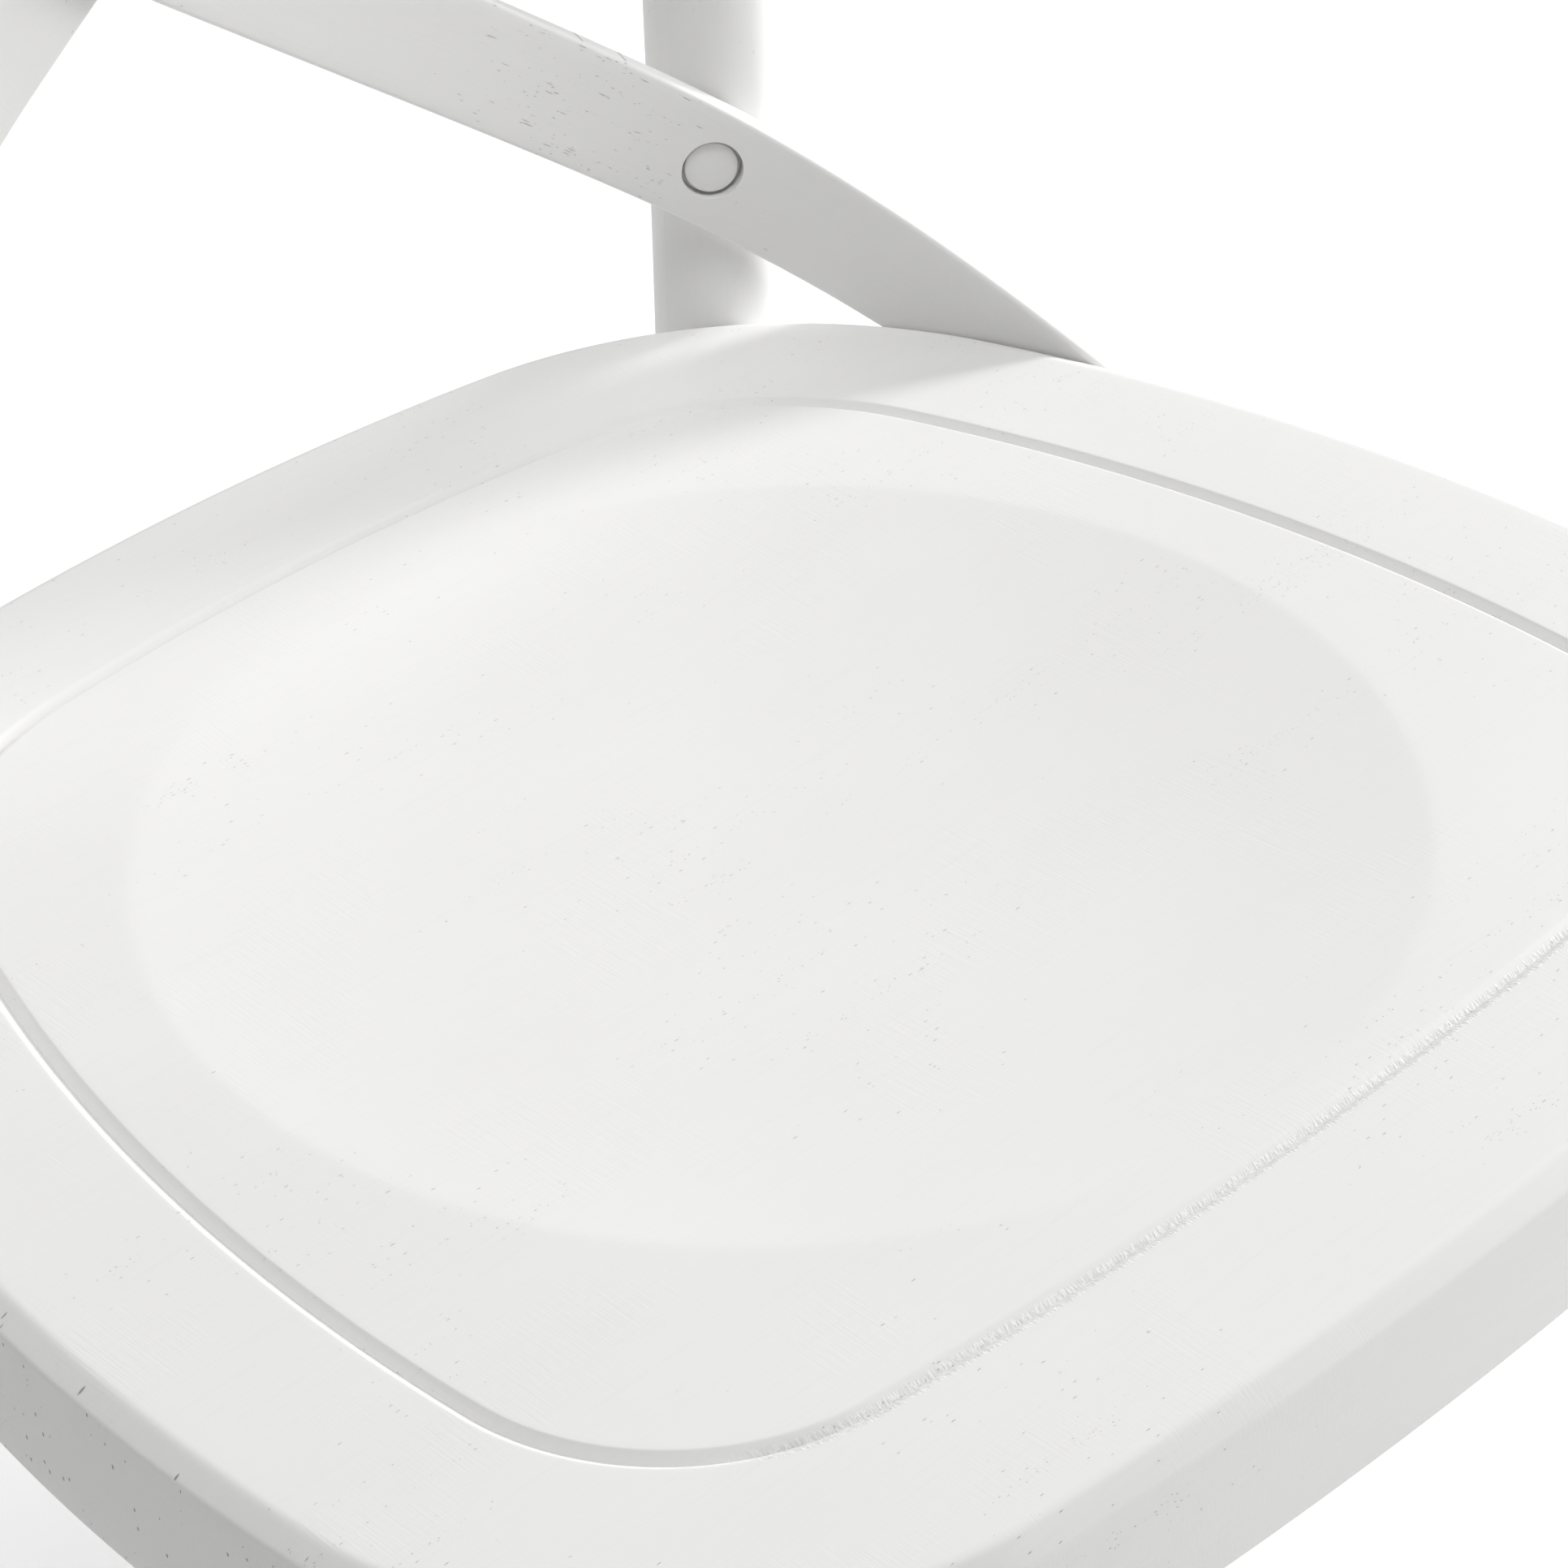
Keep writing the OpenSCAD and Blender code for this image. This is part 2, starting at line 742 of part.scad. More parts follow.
module foot_glides() {
    color(nylon)
        both_sides() {
            difference() {
                translate([leg_b[0], leg_b[1], 0])
                    cylinder(h = glide_h, r = 11);
                translate([leg_b[0], leg_b[1], 1.2])
                    cylinder(h = 10, r = 1.7, $fn = 24);
            }
            difference() {
                translate([foot_x, hoop_y(glide_h), 0])
                    cylinder(h = glide_h, r = 11);
                translate([foot_x, hoop_y(glide_h), 1.2])
                    cylinder(h = 10, r = 1.7, $fn = 24);
            }
        }
}

module glide_nails() {
    color(steel)
        both_sides() {
            translate([leg_b[0], leg_b[1], 1.4])
                cylinder(h = 16, r = 1.5, $fn = 24);
            translate([foot_x, hoop_y(glide_h), 1.4])
                cylinder(h = 16, r = 1.5, $fn = 24);
        }
}

seat_panel();
back_hoop();
cross_strap_front();
cross_strap_rear();
front_leg_left();
front_leg_right();
arch_front();
arch_rear();
arch_left();
arch_right();
seat_bolts();
seat_bolt_nuts();
seat_bolt_plugs();
strap_post_screws();
strap_post_plugs();
strap_seat_screws();
strap_seat_plugs();
strap_top_screws();
strap_top_plugs();
crossing_screw();
crossing_plug();
arch_leg_screws();
arch_leg_plugs();
arch_seat_screws();
foot_glides();
glide_nails();
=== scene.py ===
"""Painted cross-back dining chair: the looks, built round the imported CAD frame.

Lengths in the shape functions are millimetres and become metres in piece(); +Z is up and
the chair faces -Y, as in the frame.
"""

import math

import bmesh
import bpy
import numpy as np
from mathutils import Matrix, Vector


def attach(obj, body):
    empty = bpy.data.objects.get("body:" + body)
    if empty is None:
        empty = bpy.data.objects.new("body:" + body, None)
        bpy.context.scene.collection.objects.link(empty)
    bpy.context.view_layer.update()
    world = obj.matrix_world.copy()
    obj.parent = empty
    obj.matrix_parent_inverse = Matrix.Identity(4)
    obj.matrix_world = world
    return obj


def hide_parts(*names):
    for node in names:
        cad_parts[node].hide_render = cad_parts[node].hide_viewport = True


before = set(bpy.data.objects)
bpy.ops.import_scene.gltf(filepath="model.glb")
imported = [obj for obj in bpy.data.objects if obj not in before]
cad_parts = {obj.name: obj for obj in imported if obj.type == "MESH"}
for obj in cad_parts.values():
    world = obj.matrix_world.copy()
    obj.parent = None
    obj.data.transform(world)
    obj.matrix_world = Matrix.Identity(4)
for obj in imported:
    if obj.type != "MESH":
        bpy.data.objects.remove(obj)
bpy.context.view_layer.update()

MM = 0.001

# ---------- sizes, all in millimetres, the same as the frame's ----------
SEAT_TOP = 457.0
SEAT_THICK = 39.0
SEAT_UNDER = SEAT_TOP - SEAT_THICK
# from the seat's own centre line to the middle of the whole chair
SHIFT_Y = -18.8
GROOVE_FRONT = 162.9
GROOVE_INSET = 47.4
GROOVE_HALF = 2.3
GROOVE_DEPTH = 1.9
EDGE_RUN = 5.4
EDGE_DROP = 2.6
EDGE_DROP_MORE = 2.4
DISH_RADIUS = 145.0
DISH_DEPTH = 5.5
DISH_Y = -7.5
# radius and turn, in degrees, of the groove's arcs from the front to the back
GROOVE_ARCS = ((1254, 5.5), (59.7, 79.7), (480, 24.4), (81.4, 62.9))

ROD_R = 17.5
ROD_FOOT_R = 14.0
POST_X = 164.8
POST_Y = 185.4
POST_OUT = math.radians(4.5)
POST_BACK = math.radians(2.8)
POST_STRAIGHT = 150.0
BEND_R = 1300.0
CORNER_R = 120.0
CORNER_TURN = math.radians(72)
# backward sweep of the posts above the seat, per millimetre
POST_SWEEP = 1.44e-4
BACK_FOOT = (190.0, 218.0)
FOOT_ARRIS = 1.2

STRAP_W = 32.0
STRAP_T = 7.4
STRAP_Z = 41.8
STRAP_HEAD = math.radians(-35.8)
STRAP_UP = 352.0
STRAP_DOWN = 124.0
# how far the rear strap is set back at the crossing
STRAP_SET_BACK = 8.2
STRAP_END_R = 10.0
# places of the counterbores along a strap from the post, negative upwards
POST_SCREW = -4.0
SEAT_SCREW = 100.0
TOP_SCREW = -336.0

LEG_TOP = (150.0, 138.0)
LEG_FOOT = (184.0, 184.0)
LEG_TOP_R = 18.5
LEG_FOOT_R = 13.5

ARCH_W = 24.0
ARCH_T = 8.0
ARCH_Z = 235.0
SIDE_ARCH_Z = 200.0
# the crowns of the front, rear and side braces, and each brace's inward lean in degrees
FRONT_CROWN_Y = -150
REAR_CROWN_Y = 166
SIDE_CROWN_X = 163
FRONT_LEAN, REAR_LEAN, SIDE_LEAN = 4.6, 3, 8
# radius of the legs where the side braces meet them
SIDE_LEG_R = 16.3
ARCH_TAIL = 24
ARCH_END_R = 8
GLIDE_H = 4.0
CLEAR = 0.2
PLUG_R = 7.1
BORE_R = 8.2
BORE_DEPTH = 4.4
# heights of a plug's straight side, its arris and its dome
PLUG_SIDE = 0.7
PLUG_ARRIS = 0.5
PLUG_DOME = 0.7
# a plug's foot above the counterbore's depth in a strap and in a brace
PLUG_LIFT = 1.7
BRACE_PLUG_LIFT = 1.75
# depth of the seat bolts' plugs inside the back of the post, and the way the bolts run
BOLT_PLUG_IN = 3.2
BOLT_WAY = (-0.66, -0.75, 0)
# how far the looks' bore goes below a plug's foot in a brace and in a post
BRACE_BORE_BELOW = 2.65
POST_BORE_BELOW = 2.8

# ---------- the photograph's viewpoint ----------
VIEW_AZIMUTH = math.radians(-42.80)
VIEW_ELEVATION = math.radians(34.76)
VIEW_ROLL = math.radians(-2.56)
VIEW_PLACE = (-0.5456, -0.6178, 1.0253)
VIEW_LENS = 101.27
SENSOR = 36.0


# ---------- mesh helpers ----------
def piece(name, points, faces, material, sharp=32):
    """A mesh piece from points in millimetres, smooth except where faces meet sharply."""
    mesh = bpy.data.meshes.new(name)
    mesh.from_pydata([tuple(MM * float(c) for c in p) for p in points], [], faces)
    mesh.validate()
    mesh.shade_smooth()
    mesh.set_sharp_from_angle(angle=math.radians(sharp))
    mesh.materials.append(material)
    obj = bpy.data.objects.new(name, mesh)
    bpy.context.scene.collection.objects.link(obj)
    return obj


def ring_faces(rings, count, close_low=True, close_high=True):
    """Quads between consecutive rings of the same count, with caps on the two ends."""
    faces = []
    for j in range(rings - 1):
        low, high = j * count, (j + 1) * count
        for i in range(count):
            k = (i + 1) % count
            faces.append((low + i, low + k, high + k, high + i))
    if close_low:
        faces.append(tuple(reversed(range(count))))
    if close_high:
        faces.append(tuple(range((rings - 1) * count, rings * count)))
    return faces


def store(obj, name, values):
    """Keeps one number per vertex on the mesh, for the material to read."""
    layer = obj.data.attributes.new(name, "FLOAT", "POINT")
    layer.data.foreach_set("value", np.asarray(values, np.float32))


def place(obj, *nodes):
    """The piece rides on the chair and stands for these frame nodes."""
    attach(obj, "root")
    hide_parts(*nodes)
    return obj


def unit(v):
    return v / np.linalg.norm(v)


def mirrored(points):
    return [(-p[0], p[1], p[2]) for p in points]


# ---------- seat ----------
def groove_line(count):
    """Points and outward normals along the groove's closed line, evenly spaced."""
    x, y, head = 0.0, -GROOVE_FRONT, 0.0
    arcs = []
    for radius, turn in GROOVE_ARCS:
        arcs.append((x, y, head, radius, math.radians(turn)))
        end = head + math.radians(turn)
        x += radius * (math.sin(end) - math.sin(head))
        y -= radius * (math.cos(end) - math.cos(head))
        head = end
    arcs.append((x, y, head, x / math.sin(head), math.pi - head))
    half = sum(a[3] * a[4] for a in arcs)
    out = []
    for i in range(count):
        s = 2 * half * i / count
        flip = s > half
        s = 2 * half - s if flip else s
        for x0, y0, h0, radius, turn in arcs:
            if s <= radius * turn + 1e-6:
                break
            s -= radius * turn
        h = h0 + s / radius
        px = x0 + radius * (math.sin(h) - math.sin(h0))
        py = y0 - radius * (math.cos(h) - math.cos(h0))
        nx, ny = math.sin(h), -math.cos(h)
        out.append((-px, py, -nx, ny) if flip else (px, py, nx, ny))
    return np.array(out)


def groove_drop(o):
    """Depth of the V groove at a distance outside its line, its arrises a little rounded."""
    v = 1 - abs(o) / GROOVE_HALF
    soft = 0.10
    return -GROOVE_DEPTH * 0.5 * (v + math.sqrt(v * v + soft * soft)) / (0.5 * (1 + math.sqrt(1 + soft**2)))


def dish_drop(r):
    """Depth of the dish at a distance from its middle, with a soft rim."""
    t = 1 - (r / DISH_RADIUS) ** 2
    soft = 0.014
    return -DISH_DEPTH * 0.5 * (t + math.sqrt(t * t + soft * soft))


def edge_drop(ny):
    """How far the seat's soft chamfer falls; it falls further at the front and back."""
    return EDGE_DROP + EDGE_DROP_MORE * ny * ny


def edge_profile(drop):
    """The chamfered edge from the wall up to the top: (distance outside the groove, height)."""
    slope = math.atan2(drop, EDGE_RUN)
    low = np.array([GROOVE_INSET, -drop])
    high = np.array([GROOVE_INSET - EDGE_RUN, 0.0])
    along = np.array([-math.cos(slope), math.sin(slope)])
    fillets = ((low - (0, 1.3), low, low + 1.0 * along, 5), (high - 1.5 * along, high, high - (1.7, 0), 7))
    out = []
    for start, corner, end, count in fillets:
        for t in np.linspace(0, 1, count):
            out.append(start * (1 - t) ** 2 + corner * 2 * t * (1 - t) + end * t * t)
    return out


def seat_profile(ny):
    """Rings of the seat: (distance outside the groove, height) from the underside to the groove."""
    rings = [(-120, SEAT_UNDER), (-40, SEAT_UNDER), (20, SEAT_UNDER), (GROOVE_INSET - 4, SEAT_UNDER)]
    for i in range(5):
        a = math.radians(22.5 * i)
        rings.append((GROOVE_INSET - 1.6 * (1 - math.sin(a)), SEAT_UNDER + 1.6 * (1 - math.cos(a))))
    rings += [(GROOVE_INSET, SEAT_UNDER + h) for h in (10, 20, 30)]
    rings += [(o, SEAT_TOP + z) for o, z in edge_profile(edge_drop(ny))]
    rings += [(o, SEAT_TOP) for o in (36, 30, 23, 16, 10, 6)]
    rings += [(4.0 - i / 3, SEAT_TOP + groove_drop(4.0 - i / 3)) for i in range(25)]
    return rings


def make_seat(material):
    count = 800
    line = groove_line(count)
    angle = np.arctan2(line[:, 1] - DISH_Y, line[:, 0])
    profiles = [seat_profile(ny) for ny in line[:, 3]]
    points, outside = [], []
    for j in range(len(profiles[0])):
        for (x, y, nx, ny), profile in zip(line, profiles):
            o, z = profile[j]
            points.append((x + o * nx, y + o * ny + SHIFT_Y, z))
        outside += [profiles[0][j][0]] * count
    # from the groove to the dish, then down the dish to its middle
    inner = -4.0
    edge = DISH_RADIUS * 1.038
    for t in (0.35, 0.7, 1.0):
        for (x, y, nx, ny), a in zip(line, angle):
            gx, gy = x + inner * nx, y + inner * ny
            dx, dy = edge * math.cos(a), DISH_Y + edge * math.sin(a)
            px, py = gx + t * (dx - gx), gy + t * (dy - gy)
            r = math.hypot(px, py - DISH_Y)
            points.append((px, py + SHIFT_Y, SEAT_TOP + dish_drop(r)))
        outside += [-9.0] * count
    steps = [1.03, 1.012, 1.005, 1.0, 0.995, 0.988, 0.975, 0.95, 0.92, 0.88]
    steps += [0.8 - 0.08 * i for i in range(10)] + [0.04]
    for k in steps:
        r = k * DISH_RADIUS
        for a in angle:
            points.append((r * math.cos(a), DISH_Y + r * math.sin(a) + SHIFT_Y, SEAT_TOP + dish_drop(r)))
        outside += [-20.0] * count
    faces = ring_faces(len(points) // count, count)
    seat = piece("seat", points, faces, material, 40)
    store(seat, "outside", outside)
    store(seat, "facing_front", list(-line[:, 3]) * (len(points) // count))
    return place(seat, "seat_panel")


# ---------- back hoop ----------
def hoop_y(z):
    h = z - SEAT_TOP
    base = POST_Y + SHIFT_Y + math.tan(POST_BACK) * h
    if h > 0:
        return base + POST_SWEEP * h * h
    return base + (BACK_FOOT[1] - POST_Y + math.tan(POST_BACK) * SEAT_TOP) * (h / SEAT_TOP) ** 2


def post_line_x(z):
    h = z - SEAT_TOP
    return POST_X + math.tan(POST_OUT) * h + (
        BACK_FOOT[0] - POST_X + math.tan(POST_OUT) * SEAT_TOP) * (h / SEAT_TOP) ** 2


def hoop_half():
    """Centre line of the right half of the hoop, from the floor to the middle of the top."""
    flat = [(post_line_x(z), z) for z in np.linspace(GLIDE_H + CLEAR, SEAT_TOP - 8, 46)]
    flat += [(POST_X + h * math.tan(POST_OUT), SEAT_TOP + h) for h in np.linspace(0, POST_STRAIGHT - 8, 14)]
    start = np.array([POST_X + POST_STRAIGHT * math.tan(POST_OUT), SEAT_TOP + POST_STRAIGHT])
    for a in np.linspace(0, POST_OUT, 11):
        b = POST_OUT - a
        turn = np.array([math.cos(b) - math.cos(POST_OUT), math.sin(POST_OUT) - math.sin(b)])
        flat.append(tuple(start + BEND_R * turn))
    corner = start + BEND_R * np.array([1 - math.cos(POST_OUT), math.sin(POST_OUT)])
    flat += [(corner[0], corner[1] + h) for h in (11.0, 22.0)]
    corner = corner + [0, 33]
    for a in np.linspace(0, CORNER_TURN, 19):
        flat.append(tuple(corner + CORNER_R * np.array([math.cos(a) - 1, math.sin(a)])))
    end = np.array(flat[-1])
    crown_r = end[0] / math.cos(CORNER_TURN)
    for a in np.linspace(CORNER_TURN, math.pi / 2, 12)[1:]:
        flat.append((crown_r * math.cos(a), end[1] + crown_r * (math.sin(a) - math.sin(CORNER_TURN))))
    return [(x, hoop_y(z), z) for x, z in flat]


def rod_radius(z):
    return ROD_R if z > SEAT_TOP else ROD_FOOT_R + (ROD_R - ROD_FOOT_R) * min(1, z / 300)


def sweep_rod(path, radius_at, sides=48):
    """Points of a round rod along a path; radius_at(i, point) gives its radius."""
    path = [np.array(p, float) for p in path]
    points, distance, around = [], [], []
    run = 0.0
    for i, p in enumerate(path):
        ahead, behind = path[min(i + 1, len(path) - 1)], path[max(i - 1, 0)]
        along = unit(ahead - behind)
        side = unit(np.cross(along, (0, 1, 0)))
        up = np.cross(along, side)
        run += np.linalg.norm(p - behind) if i else 0
        for k in range(sides):
            a = 2 * math.pi * k / sides
            points.append(p + radius_at(i, p) * (side * math.cos(a) + up * math.sin(a)))
            distance.append(run)
            around.append(a)
    return points, distance, around


def make_hoop(material):
    half = hoop_half()
    path = half + [(-x, y, z) for x, y, z in reversed(half[:-1])]
    # the two feet end in a small arris
    first, last = [(x, y, z + FOOT_ARRIS) for x, y, z in (path[0], path[-1])]
    path = [path[0], first] + path[1:-1] + [last, path[-1]]
    ends = (0, len(path) - 1)

    def radius_at(i, p):
        return rod_radius(p[2]) - (FOOT_ARRIS if i in ends else 0)

    points, distance, around = sweep_rod(path, radius_at)
    hoop = piece("hoop", points, ring_faces(len(path), 48), material)
    store(hoop, "along", distance)
    store(hoop, "across", [18 * a for a in around])
    for at, out in both(bolt_seat()):
        bore(hoop, at - POST_BORE_BELOW * out, out)
    return place(hoop, "back_hoop")


# ---------- cross straps ----------
# bend of the strap in plan, per metre, at distances along it from the post
BEND_AT = (-405, -290, -174, -87, -38, 0, 38, 77, 125)
BEND_IS = (0.8, 0.8, 1.2, 2.6, 4.4, 10.5, 7.4, 5.5, 0)


def strap_slope(s):
    return float(np.interp(s, (-405, 0, 164), (0.804, 0.687, 0.431)))


def strap_tilt(s):
    return math.radians(float(np.interp(s, (-352, -60, 60, 110), (-1, -2, -2, 0))))


def strap_walk(way, length, step):
    """Stations along a strap from the post: distance, heading and point."""
    start_x = POST_X + STRAP_Z * math.tan(POST_OUT)
    start_y = POST_Y + SHIFT_Y + STRAP_Z * math.tan(POST_BACK)
    off = ROD_R + CLEAR + STRAP_T / 2
    aside = off * np.array([math.sin(STRAP_HEAD), -math.cos(STRAP_HEAD)])
    p = np.array([start_x + aside[0], start_y + aside[1], SEAT_TOP + STRAP_Z])
    head, out = STRAP_HEAD, []
    for i in range(int(length / step) + 1):
        s = way * i * step
        out.append((s, head, p.copy()))
        bend = float(np.interp(s + way * step / 2, BEND_AT, BEND_IS)) / 1000
        next_head = head - way * bend * step
        middle = (head + next_head) / 2
        p = p + way * step * np.array([math.cos(middle), math.sin(middle), -strap_slope(s + way * step / 2)])
        head = next_head
    return out


def strap_stations(step=2.0):
    up = strap_walk(-1, STRAP_UP, step)
    down = strap_walk(1, STRAP_DOWN, step)
    return list(reversed(up[1:])) + down


def strap_frame(station, rear):
    """Point, outward face normal and width direction of a strap at a station."""
    s, head, p = station
    along = unit(np.array([math.cos(head), math.sin(head), -strap_slope(s)]))
    e = strap_tilt(s)
    face = np.array([math.sin(head) * math.cos(e), -math.cos(head) * math.cos(e), math.sin(e)])
    face = unit(face - face.dot(along) * along)
    if rear:
        d = min(1.0, max(0.0, (abs(p[0]) - 34) / 100))
        p = p + np.array([0, STRAP_SET_BACK * math.cos(math.pi / 2 * d) ** 2, 0])
    return p, face, np.cross(face, along)


def strap_half_width(s):
    """Half the strap's width, less near its two rounded ends."""
    near_end = min(s + STRAP_UP, STRAP_DOWN - s)
    e = min(max(0.0, STRAP_END_R - max(0.0, near_end)), STRAP_END_R * 0.98)
    return STRAP_W / 2 - STRAP_END_R + math.sqrt(STRAP_END_R**2 - e**2)


def strap_section(half_w, half_t, soft=1.3, corner=4, flat=10):
    """Closed outline of a strap's section, anticlockwise, with rounded arrises."""
    out = []
    for cx, cy, a0 in ((1, 1, 0), (-1, 1, 90), (-1, -1, 180), (1, -1, 270)):
        for i in range(corner + 1):
            a = math.radians(a0 + 90 * i / corner)
            out.append((cx * (half_w - soft) + soft * math.cos(a), cy * (half_t - soft) + soft * math.sin(a)))
        if a0 in (0, 180):
            x = cx * (half_w - soft)
            out += [(x * (1 - 2 * j / flat), cy * half_t) for j in range(1, flat)]
    return out


def nearest(stations, s):
    return min(stations, key=lambda q: abs(q[0] - s))


def strap_holes(rear):
    """Counterbores of a strap: station distance, and 1 for the front face or -1 for the rear."""
    holes = [(POST_SCREW, 1), (TOP_SCREW, 1), (SEAT_SCREW, -1)]
    if not rear:
        crossing = min(strap_stations(), key=lambda q: abs(q[2][0]))
        holes.append((crossing[0], 1))
    return holes


def make_strap(name, node, rear, material):
    points, distance, across = [], [], []
    stations = strap_stations()
    for station in stations:
        p, face, width = strap_frame(station, rear)
        section = strap_section(strap_half_width(station[0]), STRAP_T / 2)
        for a, b in section:
            points.append(p + width * a + face * b)
            distance.append(station[0])
            across.append(a)
    count = len(section)
    if rear:
        points = mirrored(points)
    faces = ring_faces(len(stations), count)
    if rear:
        faces = [tuple(reversed(f)) for f in faces]
    strap = piece(name, points, faces, material)
    store(strap, "along", distance)
    store(strap, "across", across)
    for s, side in strap_holes(rear):
        p, face, _ = strap_frame(nearest(stations, s), rear)
        if rear:
            p, face = p * (-1, 1, 1), face * (-1, 1, 1)
        bore(strap, p + side * face * (STRAP_T / 2 - BORE_DEPTH), side * face)
    return place(strap, node)


def bore(obj, at, out):
    """Cuts a counterbore whose floor is at a point and which opens along a direction."""
    tool = bpy.data.meshes.new("bore")
    shape = bmesh.new()
    depth = 2 * BORE_DEPTH
    turn = Vector(out).to_track_quat("Z", "Y").to_matrix().to_4x4()
    middle = Vector(at) * MM + Vector(out) * depth * MM / 2
    bmesh.ops.create_cone(
        shape, cap_ends=True, segments=64, radius1=BORE_R * MM, radius2=BORE_R * MM,
        depth=depth * MM, matrix=Matrix.Translation(middle) @ turn)
    shape.to_mesh(tool)
    shape.free()
    cutter = bpy.data.objects.new("bore", tool)
    bpy.context.scene.collection.objects.link(cutter)
    cut = obj.modifiers.new("bore", "BOOLEAN")
    cut.operation, cut.solver, cut.object = "DIFFERENCE", "EXACT", cutter
    bpy.context.view_layer.update()
    done = bpy.data.meshes.new_from_object(obj.evaluated_get(bpy.context.evaluated_depsgraph_get()))
    obj.modifiers.clear()
    old, obj.data = obj.data, done
    bpy.data.meshes.remove(old)
    bpy.data.objects.remove(cutter)
    bpy.data.meshes.remove(tool)


# ---------- plugs ----------
def plug_points(at, out, radius=PLUG_R):
    """Rings of a domed plug with a softened edge, standing on a point along a direction."""
    out = unit(np.array(out, float))
    side = unit(np.cross(out, (0.3, 0.2, 0.9)))
    up = np.cross(out, side)
    profile = [(radius, 0.0), (radius, PLUG_SIDE)]
    for a in np.radians((30, 60)):
        profile.append((radius - PLUG_ARRIS * (1 - math.cos(a)), PLUG_SIDE + PLUG_ARRIS * math.sin(a)))
    for k in (0.93, 0.82, 0.66, 0.48, 0.3, 0.12):
        profile.append((radius * k - 0.2, PLUG_SIDE + PLUG_ARRIS + PLUG_DOME * (1 - k * k)))
    points = []
    for r, h in profile:
        for k in range(40):
            a = 2 * math.pi * k / 40
            points.append(np.array(at) + out * h + r * (side * math.cos(a) + up * math.sin(a)))
    return points, ring_faces(len(profile), 40)


def make_plugs(name, node, seats, material):
    """Plugs at several (point, direction) places, as one piece."""
    points, faces = [], []
    for at, out in seats:
        more, more_faces = plug_points(at, out)
        base = len(points)
        points += more
        faces += [tuple(base + v for v in f) for f in more_faces]
    return place(piece(name, points, faces, material), node)


def strap_plug_seat(s, side, rear=False):
    p, face, _ = strap_frame(nearest(strap_stations(), s), rear)
    return p + side * face * (STRAP_T / 2 - BORE_DEPTH + PLUG_LIFT), side * face


def bolt_seat():
    """Place and direction of the plug over a seat bolt, at the back of the right post."""
    z = SEAT_TOP - SEAT_THICK / 2 - 1
    inward = unit(np.array(BOLT_WAY))
    return back_axis(z) - inward * (ROD_R - BOLT_PLUG_IN), -inward


def both(seat):
    flip = np.array([-1, 1, 1])
    return [seat, (seat[0] * flip, seat[1] * flip)]


# ---------- legs and arches ----------
def leg_axis(z):
    t = (z - GLIDE_H) / (SEAT_UNDER - GLIDE_H)
    x = LEG_FOOT[0] + t * (LEG_TOP[0] - LEG_FOOT[0])
    y = -(LEG_FOOT[1] + t * (LEG_TOP[1] - LEG_FOOT[1])) + SHIFT_Y
    return np.array([x, y, z])


def leg_radius(z):
    return LEG_FOOT_R + (LEG_TOP_R - LEG_FOOT_R) * (z - GLIDE_H) / (SEAT_UNDER - GLIDE_H)


def make_leg(name, node, side, material):
    sides = 56
    foot = GLIDE_H + CLEAR
    heights = [foot, foot + 0.4, GLIDE_H + 1.8]
    heights += list(np.linspace(12, SEAT_UNDER - 4, 60))
    heights += [SEAT_UNDER - 1.6, SEAT_UNDER - 0.5, SEAT_UNDER - CLEAR]
    # how far the two lowest and two highest rings are drawn in, to soften the ends
    inset = {0: FOOT_ARRIS, 1: 0.5, len(heights) - 2: 0.35, len(heights) - 1: 1.0}
    points, distance, across = [], [], []
    for i, z in enumerate(heights):
        c, r = leg_axis(z), leg_radius(z) - inset.get(i, 0)
        for k in range(sides):
            a = 2 * math.pi * k / sides
            points.append((side * (c[0] + r * math.cos(a)), c[1] + r * math.sin(side * a), z))
            distance.append(z)
            across.append(18 * a)
    faces = ring_faces(len(heights), sides)
    leg = piece(name, points, faces, material)
    outward(leg)
    store(leg, "along", distance)
    store(leg, "across", across)
    return place(leg, node)


def bezier(a, b, c, d, t):
    return a * (1 - t) ** 3 + b * 3 * t * (1 - t) ** 2 + c * 3 * t * t * (1 - t) + d * t**3


def arch_line(span, rise, lean):
    """Centre line of an arch in its own plane, from one leg over the crown to the other."""
    a = np.array([span, 0.0])
    lift = np.array([-math.sin(math.radians(lean)), math.cos(math.radians(lean))])
    half = [a - lift * (ARCH_TAIL - d) for d in (0, 1, 3, 6, 9, 14, 19)]
    half += [bezier(a, a + lift * rise * 0.72, np.array([span * 0.6, rise]), np.array([0, rise]), t)
             for t in np.linspace(0, 1, 40)]
    return half + [p * (-1, 1) for p in reversed(half[:-1])]


class Arch:
    """The place of one brace arch: its leg points, crown and size, as in the frame."""

    def __init__(self, a, b, crown, leg_r, lean):
        self.middle = (a + b) / 2
        self.u = unit(b - a)
        rise = crown - self.middle
        self.v = unit(rise - rise.dot(self.u) * self.u)
        self.w = np.cross(self.u, self.v)
        self.span = np.linalg.norm(b - a) / 2 - leg_r - ARCH_T / 2 - 0.5
        self.rise = np.linalg.norm(rise)
        self.lean = lean

    def at(self, x, y, z=0.0):
        return self.middle + self.u * x + self.v * y + self.w * z

    def plug_seats(self):
        x = self.span - ARCH_T / 2 + BORE_DEPTH - BRACE_PLUG_LIFT
        return [(self.at(side * x, 0), -side * self.u) for side in (-1, 1)]


def back_axis(z):
    return np.array([post_line_x(z), hoop_y(z), z])


